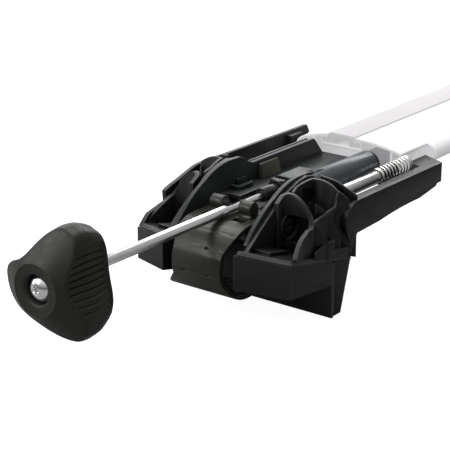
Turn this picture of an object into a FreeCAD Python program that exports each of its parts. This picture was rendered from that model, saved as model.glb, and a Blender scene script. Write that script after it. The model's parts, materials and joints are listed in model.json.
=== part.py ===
import FreeCAD, Part
import math
import os
import Sketcher

# Clamp foot of a roof-rack crossbar with its cover off, its torque key and a cut length of bar.
# Millimetres. The origin is on the clamp bolt's axis, above the middle of the roof rail:
# +X to the right-hand side of the foot, +Y inboard along the crossbar, +Z up.

doc = FreeCAD.newDocument("roof_bar_foot")

# ---------------------------------------------------------------- driving dimensions

DIMENSIONS = [
    ("foot_half", 51.0, "half the width over both sides"),
    ("cheek_in", 22.0, "inner face of each carriage cheek"),
    ("cheek_wall", 2.6, "thickness of each cheek"),
    ("floor_top", -0.8, "top of the upper floor plate"),
    ("floor_wall", 2.4, "thickness of the upper floor plate"),
    ("floor_end", 116.0, "inboard end of the upper floor plate"),
    ("seat_front", -34.6, "height of the rail seat at its outboard end"),
    ("seat_back", -38.0, "height of the rail seat at its inboard end"),
    ("block_nose", -32.0, "outboard end of a side block at its inner edge"),
    ("block_corner", -20.0, "outboard corner of a side block at its outer edge"),
    ("block_end", 18.0, "inboard end of a side block"),
    ("block_in", 23.4, "inner face of a side block"),
    ("grip_face", 21.0, "face of the fixed jaw's rubber pad"),
    ("grip_foot", -57.6, "lowest edge of the fixed jaw"),
    ("grip_back", 36.0, "back of the fixed jaw at its root"),
    ("jaw_wall", 2.8, "thickness of the moving jaw's bent plate"),
    ("jaw_half", 18.8, "half width of the moving jaw's top"),
    ("jaw_waist", 15.8, "half width of the moving jaw's round nose"),
    ("jaw_lip", 21.0, "half width of the moving jaw's lip"),
    ("key_flats", 5.0, "across the flats of the key's hexagon bar"),
    ("tip_flats", 4.0, "across the flats of the key's tip"),
    ("tip_start", -7.5, "where the key steps down to its tip"),
    ("tip_end", 31.0, "end of the key's tip, inside the bolt head"),
    ("head_radius", 3.9, "radius of the clamp bolt's socket head"),
    ("head_start", 24.0, "mouth of the clamp bolt's socket"),
    ("head_end", 38.5, "seat of the clamp bolt's head"),
    ("bolt_radius", 3.0, "radius of the clamp bolt's shank"),
    ("bolt_end", 62.0, "end of the clamp bolt"),
    ("knob_front", -151.0, "front of the knob"),
    ("knob_back", -115.5, "back face of the knob"),
    ("knob_mean", 24.4, "mean radius of the knob"),
    ("knob_lobe", 6.1, "how far each lobe stands over the mean"),
    ("tube_x", 24.4, "axis of the guide tube, sideways"),
    ("tube_z", 6.0, "axis of the guide tube, height"),
    ("tube_radius", 7.7, "outside radius of the guide tube"),
    ("tube_end", 91.0, "inboard end of the guide tube"),
    ("pin_x", 37.6, "axis of the plunger, sideways"),
    ("pin_z", 3.6, "axis of the plunger, height"),
    ("pin_radius", 3.9, "radius of the plunger"),
    ("bar_end", 114.0, "outboard end of the crossbar"),
    ("bar_stop", 290.0, "inboard end of the cut length of crossbar"),
    ("bar_half", 40.0, "half width of the crossbar"),
    ("bar_rise", 11.0, "half height of the crossbar"),
    ("bar_z", 1.5, "height of the crossbar's middle"),
    ("bar_wall", 2.0, "wall of the crossbar"),
    ("slot_x", -7.5, "middle of the bar's top slot"),
    ("slot_half", 13.0, "half width of the bar's top slot"),
    ("arm_top", 3.1, "top of the right side arm"),
    ("shell_top", 7.0, "top of the left shell"),
]

sheet = doc.addObject("Spreadsheet::Sheet", "Sheet")
for row, (alias, number, meaning) in enumerate(DIMENSIONS, start=1):
    sheet.set(f"A{row}", meaning)
    sheet.set(f"B{row}", str(number))
    sheet.setAlias(f"B{row}", alias)
doc.recompute()


class Size:
    """A length with the sheet expression that gives it."""

    def __init__(self, value, text):
        self.value = float(value)
        self.text = text

    def __add__(self, other):
        return Size(self.value + amount(other), f"({self.text} + {wording(other)})")

    def __radd__(self, other):
        return Size(amount(other) + self.value, f"({wording(other)} + {self.text})")

    def __sub__(self, other):
        return Size(self.value - amount(other), f"({self.text} - {wording(other)})")

    def __rsub__(self, other):
        return Size(amount(other) - self.value, f"({wording(other)} - {self.text})")

    def __mul__(self, factor):
        return Size(self.value * factor, f"({self.text} * {wording(factor)})")

    __rmul__ = __mul__

    def __truediv__(self, factor):
        return Size(self.value / factor, f"({self.text} / {wording(factor)})")

    def __neg__(self):
        return Size(-self.value, f"(0 - {self.text})")


def amount(size):
    return size.value if isinstance(size, Size) else float(size)


def wording(size):
    return size.text if isinstance(size, Size) else f"{float(size):.6f}"


SIZES = {alias: Size(number, f"Sheet.{alias}") for alias, number, meaning in DIMENSIONS}


def dim(alias):
    return SIZES[alias]


# ---------------------------------------------------------------- sketches and bodies

def new_body(label):
    made = doc.addObject("PartDesign::Body", label)
    made.Label = label
    return made


def new_sketch(body, plane, offset=0.0):
    """A sketch on one of the body's origin planes, moved along the plane's normal."""
    sketch = body.newObject("Sketcher::SketchObject", body.Label + "_sketch")
    support = [item for item in body.Origin.OriginFeatures if item.Role == plane][0]
    sketch.AttachmentSupport = [(support, "")]
    sketch.MapMode = "FlatFace"
    sketch.setExpression(".AttachmentOffset.Base.z", wording(offset))
    return sketch


def bind_point(sketch, geometry, spot, across, up):
    """Ties one vertex to the sketch's origin by two bound distances."""
    for kind, size in (("DistanceX", across), ("DistanceY", up)):
        index = sketch.addConstraint(Sketcher.Constraint(kind, geometry, spot, amount(size)))
        if isinstance(size, Size):
            sketch.setExpression(f"Constraints[{index}]", size.text)


def arc_between(start, end, radius):
    """The short arc from start to end; a positive radius keeps its centre on the left."""
    chord = end - start
    half = chord.Length / 2
    reach = math.sqrt(max(radius * radius - half * half, 0.0))
    left = FreeCAD.Vector(-chord.y, chord.x, 0).normalize()
    centre = (start + end) / 2 + left * math.copysign(reach, radius)
    first, last = (start, end) if radius > 0 else (end, start)
    from_angle = math.atan2(first.y - centre.y, first.x - centre.x)
    to_angle = math.atan2(last.y - centre.y, last.x - centre.x)
    circle = Part.Circle(centre, FreeCAD.Vector(0, 0, 1), abs(radius))
    return Part.ArcOfCircle(circle, from_angle, to_angle)


def add_outline(sketch, corners):
    """A closed outline. A corner is (across, up), or (across, up, radius) to reach it by an arc."""
    flat = [FreeCAD.Vector(amount(c[0]), amount(c[1]), 0) for c in corners]
    first = sketch.GeometryCount
    count = len(corners)
    leaving = []
    arriving = []
    for i in range(count):
        target = corners[(i + 1) % count]
        start, end = flat[i], flat[(i + 1) % count]
        if len(target) == 3:
            sketch.addGeometry(arc_between(start, end, target[2]), False)
            leaving.append(1 if target[2] > 0 else 2)
            arriving.append(2 if target[2] > 0 else 1)
        else:
            sketch.addGeometry(Part.LineSegment(start, end), False)
            leaving.append(1)
            arriving.append(2)
    for i in range(count):
        after = (i + 1) % count
        sketch.addConstraint(
            Sketcher.Constraint("Coincident", first + i, arriving[i], first + after, leaving[after]))
        bind_point(sketch, first + i, leaving[i], corners[i][0], corners[i][1])
        if len(corners[after]) == 3:
            sketch.addConstraint(Sketcher.Constraint("Radius", first + i, abs(corners[after][2])))


def add_circle(sketch, across, up, radius):
    centre = FreeCAD.Vector(amount(across), amount(up), 0)
    circle = Part.Circle(centre, FreeCAD.Vector(0, 0, 1), amount(radius))
    geometry = sketch.addGeometry(circle, False)
    bind_point(sketch, geometry, 3, across, up)
    index = sketch.addConstraint(Sketcher.Constraint("Radius", geometry, amount(radius)))
    if isinstance(radius, Size):
        sketch.setExpression(f"Constraints[{index}]", radius.text)


def add_hexagon(sketch, flats):
    """A regular hexagon about the origin, with a flat on top."""
    reach = flats / math.sqrt(3)
    corners = []
    for turn in range(6):
        angle = math.radians(60 * turn)
        corners.append((reach * round(math.cos(angle), 9), reach * round(math.sin(angle), 9)))
    add_outline(sketch, corners)


def pad(body, sketch, length):
    """Adds material from the sketch along its plane's normal."""
    feature = body.newObject("PartDesign::Pad", body.Label + "_added")
    feature.Profile = sketch
    feature.setExpression("Length", wording(length))
    doc.recompute()
    return feature


def pocket(body, sketch, length):
    """Cuts from the sketch along its plane's normal, and makes sure that it cut something."""
    before = body.Shape.Volume
    feature = body.newObject("PartDesign::Pocket", body.Label + "_removed")
    feature.Profile = sketch
    feature.Reversed = True
    feature.setExpression("Length", wording(length))
    doc.recompute()
    if body.Shape.Volume > before - 1e-6:
        raise ValueError(f"{body.Label}: a pocket cut nothing")
    return feature


# Each origin plane with the direction that its sketches are pushed in:
# YZ_Plane sketches hold (y, z) and go to +X; XY_Plane ones hold (x, y) and go to +Z;
# XZ_Plane ones hold (x, z) and go to -Y.

def slab_x(body, outline, x_from, x_to, work=pad):
    sketch = new_sketch(body, "YZ_Plane", x_from)
    add_outline(sketch, outline)
    return work(body, sketch, x_to - x_from)


def slab_z(body, outline, z_from, z_to, work=pad):
    sketch = new_sketch(body, "XY_Plane", z_from)
    add_outline(sketch, outline)
    return work(body, sketch, z_to - z_from)


def slab_y(body, outline, y_from, y_to, work=pad):
    sketch = new_sketch(body, "XZ_Plane", -y_to)
    add_outline(sketch, outline)
    return work(body, sketch, y_to - y_from)


def rod_y(body, across, up, radius, y_from, y_to, work=pad):
    sketch = new_sketch(body, "XZ_Plane", -y_to)
    add_circle(sketch, across, up, radius)
    return work(body, sketch, y_to - y_from)


def rod_x(body, along, up, radius, x_from, x_to, work=pad):
    sketch = new_sketch(body, "YZ_Plane", x_from)
    add_circle(sketch, along, up, radius)
    return work(body, sketch, x_to - x_from)


def rod_z(body, across, along, radius, z_from, z_to, work=pad):
    sketch = new_sketch(body, "XY_Plane", z_from)
    add_circle(sketch, across, along, radius)
    return work(body, sketch, z_to - z_from)


def rectangle(low_a, high_a, low_b, high_b):
    return [(low_a, low_b), (high_a, low_b), (high_a, high_b), (low_a, high_b)]


def soften(body, radius, picked):
    """Rounds the edges of the body's last feature that picked(edge) chooses."""
    names = [f"Edge{i}" for i, edge in enumerate(body.Shape.Edges, start=1) if picked(edge)]
    solid = body.Tip
    feature = body.newObject("PartDesign::Fillet", body.Label + "_rounding")
    feature.Base = (solid, names)
    feature.Radius = radius
    doc.recompute()
    if feature.State and "Invalid" in feature.State:
        raise ValueError(f"{body.Label}: rounding failed")
    return feature


def fixed_shape(label, shape):
    """A piece, or a tool for cutting one, whose shape comes from Part's own functions."""
    made = doc.addObject("Part::Feature", label)
    made.Label = label
    made.Shape = shape
    return made


# ---------------------------------------------------------------- carriage

def cheek_outline(end, end_foot):
    """Side view of a cheek: a long arch up from its outboard tip, then the low side wall."""
    return [
        (-22.0, -10.5),
        (2.8, 9.2, -62.0),
        (30.5, 15.4, -46.0),
        (39.5, 13.2, -14.0),
        (46.0, 9.4, 16.0),
        (end, 9.2),
        (end_foot, dim("floor_top") - 0.4),
        (end_foot, -5.0),
        (44.0, -5.0),
        (44.0, -14.0),
        (-18.5, -14.0),
    ]


def make_carriage():
    """The sliding carriage: two arched cheeks over a lower floor, and the left side wall."""
    body = new_body("carriage")
    inner = dim("cheek_in")
    outer = inner + dim("cheek_wall")
    slab_x(body, cheek_outline(107.0, dim("floor_end")), -outer, -inner)
    slab_x(body, cheek_outline(46.5, 48.0), inner, outer)
    slab_z(body, rectangle(-inner, inner, -14.0, 44.0), -14.0, -11.0)
    slab_z(body, rectangle(-inner, inner, 45.0, 60.0), -5.0, -3.25)
    slab_z(body, rectangle(-inner, inner - 2.0, 59.0, dim("floor_end")), -5.0, -3.25)
    slab_z(body, rectangle(-5.2, 5.2, 40.0, 54.0), -6.0, -2.0, work=pocket)
    return body


def make_left_rail():
    """The round-topped flange outside the left side wall, which the bar runs over."""
    body = new_body("left_rail")
    wall = -dim("cheek_in") - dim("cheek_wall") - 0.05
    profile = [(wall, 4.6), (wall, 9.6), (wall - 3.6, 8.0, 3.9), (wall - 3.6, 4.6)]
    slab_y(body, profile, 42.0, 104.0)
    return body


def make_upper_floor():
    """The upper floor plate, open in front round the clamp bolt and its nut."""
    body = new_body("upper_floor_plate")
    inner = dim("cheek_in") - 0.1
    low = dim("floor_top") - dim("floor_wall")
    outline = [
        (-inner, 15.0), (-inner + 4.5, 18.6), (-10.0, 18.8), (-10.0, 36.7),
        (10.0, 36.7), (10.0, 18.8), (inner - 4.5, 18.6), (inner, 15.0), (inner, 34.5),
        (16.2, 34.5), (16.2, dim("floor_end")), (-inner, dim("floor_end")),
    ]
    slab_z(body, outline, low, dim("floor_top"))
    slab_z(body, rectangle(-6.2, 6.2, 30.0, 54.0), low - 1.0, dim("floor_top") + 1.0, work=pocket)
    slab_z(body, rectangle(-3.4, 3.4, 53.0, 66.5), low - 1.0, dim("floor_top") + 1.0, work=pocket)
    return body


def make_floor_catch():
    """The small moulded catch on the floor beside the left wall."""
    body = new_body("floor_catch")
    floor = dim("floor_top") + 0.05
    wall = -dim("cheek_in") + 0.05
    outline = [
        (wall, 25.0), (-18.6, 25.0), (-15.4, 28.4, 3.6), (-15.4, 36.6), (-18.0, 39.2, 2.7),
        (-18.0, 37.0), (-17.4, 36.2), (-17.4, 29.0), (-19.4, 27.4, -2.4), (wall, 27.4),
    ]
    slab_z(body, outline, floor, floor + 2.2)
    slab_z(body, rectangle(wall, -17.6, 26.0, 38.6), floor, floor + 0.8)
    slab_z(body, rectangle(wall, -20.6, 30.0, 38.0), floor, floor + 4.4)
    return body


def make_guide_block():
    """The wedge on the left wall that steadies the bar."""
    body = new_body("guide_block")
    wall = -dim("cheek_in") + 0.05
    floor = dim("floor_top") + 0.05
    slab_y(body, [(wall, floor), (wall + 4.2, floor), (wall + 1.8, 7.4), (wall, 7.4)], 51.0, 68.0)
    return body


def make_nut_boss():
    """The low moulded hood over the captive nut behind the jaw's upright."""
    body = new_body("nut_boss")
    floor = dim("floor_top") + 0.05
    outline = [(-9.0, floor), (9.0, floor), (6.4, 4.0), (4.2, 5.4), (-4.2, 5.4), (-6.4, 4.0)]
    slab_y(body, outline, 45.2, 66.0)
    slab_y(body, rectangle(-4.85, 4.85, floor - 0.02, 4.75), 46.6, 53.2, work=pocket)
    bore_end = dim("bolt_end") + 3.5
    rod_y(body, 0.0, 0.0, dim("bolt_radius") + 0.35, 40.0, bore_end, work=pocket)
    slab_z(body, rectangle(-3.3, 3.3, 40.0, bore_end), -1.0, 0.0, work=pocket)
    return body


def make_bolt_nut():
    """The captive square nut for the clamp bolt."""
    body = new_body("bolt_nut")
    slab_y(body, rectangle(-4.7, 4.7, -4.7, 4.65), 46.8, 53.0)
    rod_y(body, 0.0, 0.0, dim("bolt_radius") + 0.05, 40.0, 60.0, work=pocket)
    return body


# ---------------------------------------------------------------- side blocks and fixed jaw

def block_outline():
    """Side view of a side block: it falls away inboard and sits on the roof rail."""
    return [
        (dim("block_nose"), -12.6),
        (dim("block_corner"), -16.4),
        (dim("block_end"), -24.6),
        (dim("block_end"), dim("seat_back")),
        (dim("block_corner"), dim("seat_front")),
        (dim("block_nose"), -31.8),
    ]


def make_side_block(label, side):
    body = new_body(label)
    low, high = (dim("block_in"), dim("foot_half"))
    if side < 0:
        low, high = -high, -low
    slab_x(body, block_outline(), low, high)
    inner = dim("block_in") * side
    outer = (dim("foot_half") + 0.6) * side
    nose = dim("block_nose")
    corner = dim("block_corner") + 0.3
    sliver = [(inner, nose), (inner, nose - 3.0), (outer, nose - 3.0), (outer, corner)]
    slab_z(body, sliver, -45.0, -5.0, work=pocket)
    return body


def make_fixed_jaw():
    """The fixed inboard jaw: a cross wall below the carriage, tapering to its foot."""
    body = new_body("fixed_jaw")
    half = dim("foot_half") - 0.4
    front = dim("grip_face") + 0.05
    outline = [
        (front, -25.4),
        (dim("grip_back"), -28.4),
        (27.6, dim("grip_foot") + 0.8),
        (front, dim("grip_foot") + 0.8),
    ]
    slab_x(body, outline, -half, half)
    root = dim("cheek_in") - 2.0
    slab_y(body, rectangle(-root, root, -27.0, -14.05), front, 34.0)
    for x_from in (-46.0, -24.0, -2.0, 20.0):
        cell = rectangle(x_from, x_from + 18.0, 29.5, 40.0)
        slab_z(body, cell, -48.0, -26.5, work=pocket)
    return body


def make_fixed_pad():
    """The rubber face of the fixed jaw."""
    body = new_body("fixed_jaw_pad")
    half = dim("foot_half") - 0.4
    face = dim("grip_face")
    outline = [
        (dim("block_end") + 0.15, -26.6),
        (face, -25.4),
        (face, dim("grip_foot")),
        (dim("block_end") + 0.9, dim("grip_foot")),
        (dim("block_end") + 0.15, dim("grip_foot") + 2.0),
    ]
    slab_x(body, outline, -half, half)
    return body


# ---------------------------------------------------------------- ribbed housings

EAVE = -16.0
HIGH_EAVE = 3.1
END_WALL = 28.6
ROOF_FALL = 3.6
ROOF_STATIONS = (-40.0, -24.0, -12.0, 0.0, 10.0, 20.0, END_WALL - 0.4, END_WALL + 0.4, 40.0, 52.0)


def crest(along):
    """Height of the cover line over a cheek."""
    nose = -10.5 + 25.4 * math.sin(math.radians(min(max((along + 22.0) * 1.72, -30.0), 90.0)))
    return nose - max(along - 34.0, 0.0) * 0.3


def eave(along):
    """Height of the cover line at the side of the foot: low, but high at the end wall."""
    return EAVE if along < END_WALL else HIGH_EAVE


def roof_height(across, along, lift):
    """Height of the cover line at a place in plan, raised by lift towards the middle."""
    share = (across - 24.0) / 27.0
    rise = min(max((along - END_WALL + 0.6) / 1.2, 0.0), 1.0)
    side = EAVE + (HIGH_EAVE - EAVE) * rise
    return crest(along) - (crest(along) - side) * share ** ROOF_FALL + lift * (1.0 - share)


def roof_section(along):
    """Half section under the missing cover, from the middle out to the side."""
    top = crest(along)
    side = eave(along)
    points = []
    for share in (0.0, 0.35, 0.6, 0.8, 0.92, 1.0):
        height = top - (top - side) * share ** ROOF_FALL
        points.append(FreeCAD.Vector(24.0 + 27.0 * share, along, height))
    curve = Part.BSplineCurve()
    curve.interpolate(points)
    floor = -60.0
    corners = [points[-1], FreeCAD.Vector(points[-1].x, along, floor),
               FreeCAD.Vector(0, along, floor), FreeCAD.Vector(0, along, top), points[0]]
    edges = [curve.toShape()]
    for start, end in zip(corners, corners[1:]):
        edges.append(Part.LineSegment(start, end).toShape())
    return Part.Wire(edges)


def roof_space():
    """Everything below the cover line on the right side of the foot."""
    return Part.makeLoft([roof_section(along) for along in ROOF_STATIONS], True, True)


def plan_points(path):
    """Points about a millimetre apart along a path in plan, whose arcs carry a middle point."""
    points = []
    here = FreeCAD.Vector(*path[0], 0)
    for step in path[1:]:
        there = FreeCAD.Vector(step[-2], step[-1], 0)
        if len(step) == 4:
            edge = Part.Arc(here, FreeCAD.Vector(step[0], step[1], 0), there).toShape()
        else:
            edge = Part.LineSegment(here, there).toShape()
        count = max(2, int(edge.Length / 1.2) + 1)
        points += edge.discretize(Number=count)[:-1]
        here = there
    return points + [here]


def rib(path, thickness, lift=0.0):
    """A wall on a path in plan, with a level rim that follows the cover line."""
    points = plan_points(path)
    sections = []
    for index, point in enumerate(points):
        before = points[max(index - 1, 0)]
        after = points[min(index + 1, len(points) - 1)]
        side = (after - before).cross(FreeCAD.Vector(0, 0, 1)).normalize() * (thickness / 2)
        top = FreeCAD.Vector(0, 0, roof_height(point.x, point.y, lift))
        floor = FreeCAD.Vector(0, 0, -50.0)
        ring = [point + side + floor, point + side + top, point - side + top, point - side + floor]
        sections.append(Part.makePolygon(ring + ring[:1]))
    return Part.makeLoft(sections, True, True)


ARCH = [(28.2, -1.6), (28.2, 3.4), (29.8, 6.0, 33.0, 7.2), (41.5, 7.4), (45.2, 6.2, 46.0, 2.0),
        (46.5, -4.0), (48.0, -10.5, 49.8, -15.0)]
CHAMBER = [(29.4, 11.6), (28.4, 16.0), (29.4, 22.0), (30.6, 28.2), (35.6, 29.6), (45.0, 30.4),
           (49.8, 34.6)]
REAR_WALL = [(31.0, 35.4), (37.0, 37.0), (45.0, 39.4), (49.4, 43.0)]
CROSS_RIBS = [
    [(45.2, 7.0), (45.4, 16.0), (45.2, 30.0)],
    [(41.4, 14.4), (50.2, 26.0)],
    [(45.2, 7.8), (50.2, 14.4), (50.2, 19.6)],
]
DECK_LINE = [(-31.2, -12.55), (-19.4, -16.48), (18.0, -24.55), (36.0, -28.35)]


def deck_shape(rise, bevel=0.0):
    """The sloping deck on top of a side block, or a tool as high as rise above its underside."""
    top = [FreeCAD.Vector(0, along, up) for along, up in DECK_LINE]
    ring = top + [point + FreeCAD.Vector(0, 0, rise) for point in reversed(top)]
    face = Part.Face(Part.makePolygon(ring + ring[:1]))
    inner = amount(dim("cheek_in") + dim("cheek_wall")) + 0.05
    outer = amount(dim("foot_half"))
    slab = face.extrude(FreeCAD.Vector(outer - inner, 0, 0))
    slab.translate(FreeCAD.Vector(inner, 0, 0))
    plan = [FreeCAD.Vector(inner, -31.4, -60), FreeCAD.Vector(outer, -19.4, -60),
            FreeCAD.Vector(outer, 40, -60), FreeCAD.Vector(inner, 40, -60)]
    prism = Part.Face(Part.makePolygon(plan + plan[:1])).extrude(FreeCAD.Vector(0, 0, 80))
    deck = slab.common(prism)
    if not bevel:
        return deck
    corner = FreeCAD.Vector(outer, DECK_LINE[1][0], DECK_LINE[1][1] + rise)
    nose = FreeCAD.Vector(inner, DECK_LINE[0][0], DECK_LINE[0][1] + rise)
    tail = FreeCAD.Vector(outer, DECK_LINE[3][0], DECK_LINE[3][1] + rise)
    inboard = FreeCAD.Vector(-0.415, 0.910, -0.303)
    deck = deck.cut(rim_wedge(nose, corner, inboard, bevel))
    return deck.cut(rim_wedge(corner, tail, FreeCAD.Vector(-1, 0, 0), bevel))


def rim_wedge(start, end, inboard, bevel):
    """A tool that takes the rim between two top corners off by bevel on both its faces."""
    over = (end - start) * 0.1
    slope = inboard + FreeCAD.Vector(0, 0, 1)
    foot = start - over
    corners = [foot + inboard * bevel + slope, foot - FreeCAD.Vector(0, 0, bevel) - slope,
               foot - inboard * 3 + FreeCAD.Vector(0, 0, 3)]
    return Part.Face(Part.makePolygon(corners + corners[:1])).extrude(end - start + over * 2)


def fused(shapes):
    """The shapes fused one after another, which keeps each step's result valid."""
    lump = shapes[0]
    for shape in shapes[1:]:
        lump = lump.fuse(shape)
    return lump


def housing_shape():
    """Web, arch, chamber and cross ribs up to the cover line, standing on the deck."""
    web = Part.makeBox(2.4, 63.0, 80.0, FreeCAD.Vector(24.7, -29.0, -50.0)).common(roof_space())
    walls = [rib(ARCH, 2.5, 4.6), rib(CHAMBER, 1.7), rib(REAR_WALL, 1.5)]
    walls += [rib(path, width) for path, width in zip(CROSS_RIBS, (1.6, 1.1, 1.5))]
    boss = Part.makeCylinder(1.9, 50.0, FreeCAD.Vector(45.2, 30.2, -46.2))
    lump = fused([web] + walls + [boss])
    below = [FreeCAD.Vector(0, -60.0, -3.0)]
    below += [FreeCAD.Vector(0, along, up) for along, up in DECK_LINE]
    below += [FreeCAD.Vector(0, 60.0, -33.0), FreeCAD.Vector(0, 60.0, -90.0),
              FreeCAD.Vector(0, -60.0, -90.0)]
    under = Part.Face(Part.makePolygon(below + below[:1])).extrude(FreeCAD.Vector(160, 0, 0))
    under.translate(FreeCAD.Vector(-80, 0, 0))
    clear = amount(dim("cheek_in") + dim("cheek_wall")) + 0.05
    core = Part.makeBox(2 * clear, 200, 120, FreeCAD.Vector(-clear, -80, -60))
    corner_box = Part.makeBox(4.0, 15.6, 40.0, FreeCAD.Vector(46.6, 19.0, -50.0)).common(deck_shape(6.4))
    ledge = Part.makeBox(10.0, 15.5, 40.0, FreeCAD.Vector(27.0, -19.0, -50.0)).common(deck_shape(4.4))
    gusset = [FreeCAD.Vector(49.0, 3.0, -22.0), FreeCAD.Vector(49.0, 3.0, -16.2),
              FreeCAD.Vector(49.0, 13.4, -13.6), FreeCAD.Vector(49.0, 19.4, -18.0),
              FreeCAD.Vector(49.0, 19.4, -25.0)]
    gusset = Part.Face(Part.makePolygon(gusset + gusset[:1])).extrude(FreeCAD.Vector(1.1, 0, 0))
    lump = fused([lump, gusset]).cut(under).cut(core)
    return fused([lump, deck_shape(2.4, 1.9), corner_box, ledge])


def make_right_housing(arm):
    """The right housing, with the bore of the lock sleeve, the plunger's bush and the tube's socket."""
    shape = housing_shape()
    bore = Part.makeCylinder(LOCK_RADIUS + 0.05, 21.5, FreeCAD.Vector(22, LOCK_Y, LOCK_Z),
                             FreeCAD.Vector(1, 0, 0))
    pin = FreeCAD.Vector(amount(dim("pin_x")), 31.4, amount(dim("pin_z")))
    bush = Part.makeCylinder(5.5, 20.0, pin, FreeCAD.Vector(0, 1, 0))
    tube = FreeCAD.Vector(amount(dim("tube_x")), 20.0, amount(dim("tube_z")))
    socket = Part.makeCylinder(amount(dim("tube_radius")) + 0.05, 30.0, tube, FreeCAD.Vector(0, 1, 0))
    shape = shape.cut(bore).cut(bush).cut(socket).cut(arm.Shape)
    return fixed_shape("right_housing", largest_solid(shape))


def make_left_housing():
    shape = housing_shape().mirror(FreeCAD.Vector(0, 0, 0), FreeCAD.Vector(1, 0, 0))
    keep = Part.makeBox(60, 120, 120, FreeCAD.Vector(-48.0, -40, -60))
    return fixed_shape("left_housing", largest_solid(shape.common(keep)))


def largest_solid(shape):
    """Leaves out any crumb that trimming has cut loose."""
    return max(shape.Solids, key=lambda solid: solid.Volume)


# ---------------------------------------------------------------- outer sides

def make_left_shell():
    """The left outer shell: an arched side wall that runs inboard past the end of the bar."""
    body = new_body("left_outer_shell")
    outer = dim("foot_half")
    outline = [
        (-19.4, -16.2), (-13.0, -10.4), (1.6, -7.2), (1.0, -1.0), (12.0, 2.4, -60.0),
        (24.7, 6.0), (36.0, dim("shell_top") + 0.3, -30.0), (137.5, dim("shell_top") - 0.6),
        (140.4, 1.4), (129.4, -4.4), (60.0, -9.0), (40.0, -22.0, 40.0), (35.4, -27.9),
        (18.0, -24.2),
    ]
    slab_x(body, outline, -outer, -outer + 2.8)
    lug = rectangle(-outer + 2.75, -outer + 6.5, -3.4, 4.6)
    slab_y(body, lug, 116.0, 128.0)
    return body


def make_right_arm():
    """The right side arm: it leaves the housing in a curve and ends in an inward block."""
    body = new_body("right_side_arm")
    outer = dim("foot_half") - 0.1
    top = dim("arm_top")
    outline = [
        (34.6, -27.4), (31.6, -12.6, 30.0), (31.0, -5.0, -20.0), (34.8, 0.6, -8.0), (43.5, top, -14.0),
        (128.0, top - 0.6), (129.2, -4.6), (124.2, -10.2), (106.0, -12.8), (64.0, -14.7, 300.0),
        (41.6, -15.4),
    ]
    slab_x(body, outline, outer - 6.0, outer)
    block = [
        (outer - 15.4, 119.6), (outer - 0.02, 112.2), (outer - 0.02, 130.0), (outer - 15.4, 137.2),
    ]
    slab_z(body, block, top - 12.0, top - 0.6)
    slab_x(body, [(50.0, -11.6), (122.0, -9.2), (120.0, -2.0), (50.0, -2.0)],
           outer - 6.5, outer - 2.6, work=pocket)
    return body


# ---------------------------------------------------------------- guide tube, plunger, lock sleeve

def make_guide_tube():
    body = new_body("guide_tube")
    across, up = dim("tube_x"), dim("tube_z")
    rod_y(body, across, up, dim("tube_radius"), 34.8, dim("tube_end"))
    rod_y(body, across, up, dim("tube_radius") - 2.0, 34.8, dim("tube_end"), work=pocket)
    flat = rectangle(dim("cheek_in") - 8.0, dim("cheek_in") + dim("cheek_wall") + 0.1, -9.0, 20.0)
    slab_y(body, flat, 30.0, 48.2, work=pocket)
    slab_z(body, rectangle(10.0, 40.0, 30.0, 100.0), -8.0, dim("floor_top") - 0.6, work=pocket)
    return body


def make_tube_cap():
    """The domed plug in the end of the guide tube."""
    body = new_body("guide_tube_cap")
    across, up = dim("tube_x"), dim("tube_z")
    end = dim("tube_end")
    rod_y(body, across, up, dim("tube_radius") - 0.1, end + 0.03, end + 4.6)
    rod_y(body, across, up, dim("tube_radius") - 2.15, end - 8.0, end + 0.1)
    rim = amount(end) + 4.6
    soften(body, 3.8, lambda edge: all(abs(v.Y - rim) < 1e-3 for v in edge.Vertexes))
    slab_z(body, rectangle(10.0, 40.0, 80.0, 100.0), -8.0, dim("floor_top") - 0.6, work=pocket)
    return body


def make_plunger_bush():
    """The flanged bush that the plunger runs in."""
    body = new_body("plunger_bush")
    across, up = dim("pin_x"), dim("pin_z")
    rod_y(body, across, up, 5.45, 31.5, 42.0)
    rod_y(body, across, up, dim("pin_radius") + 0.06, 20.0, 50.0, work=pocket)
    return body


def make_plunger():
    """The spring plunger: a steel pin with a round tip, a shoulder and a thin tail in the spring."""
    body = new_body("plunger_pin")
    across, up = dim("pin_x"), dim("pin_z")
    rod_y(body, across, up, dim("pin_radius"), 32.0, 80.0)
    soften(body, 0.8, lambda edge: all(abs(v.Y - 32.0) < 1e-4 for v in edge.Vertexes))
    rod_y(body, across, up, 2.9, 79.9, 100.0)
    return body


def make_plunger_spring():
    """The plunger's compression spring, with closed ends."""
    wire = 0.62
    mean = 4.05
    coils = 10.5
    length = 31.0
    helix = Part.makeHelix(length / coils, length, mean)
    start = FreeCAD.Vector(mean, 0, 0)
    ring = Part.Wire([Part.makeCircle(wire, start, FreeCAD.Vector(0, 1, 0.12))])
    coil = Part.Wire(helix).makePipeShell([ring], True, True)
    made = fixed_shape("plunger_spring", coil)
    turn = FreeCAD.Rotation(FreeCAD.Vector(1, 0, 0), -90)
    base = FreeCAD.Vector(amount(dim("pin_x")), 81.0, amount(dim("pin_z")))
    made.Placement = FreeCAD.Placement(base, turn)
    return made


LOCK_Y = 8.6
LOCK_Z = -6.8
LOCK_RADIUS = 8.0


def make_lock_sleeve():
    """The sleeve in the housing's web that the cover's lock turns in."""
    body = new_body("lock_sleeve")
    rod_x(body, LOCK_Y, LOCK_Z, LOCK_RADIUS, 24.8, 30.6)
    rod_x(body, LOCK_Y, LOCK_Z, LOCK_RADIUS - 1.4, 24.0, 32.0, work=pocket)
    return body


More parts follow.
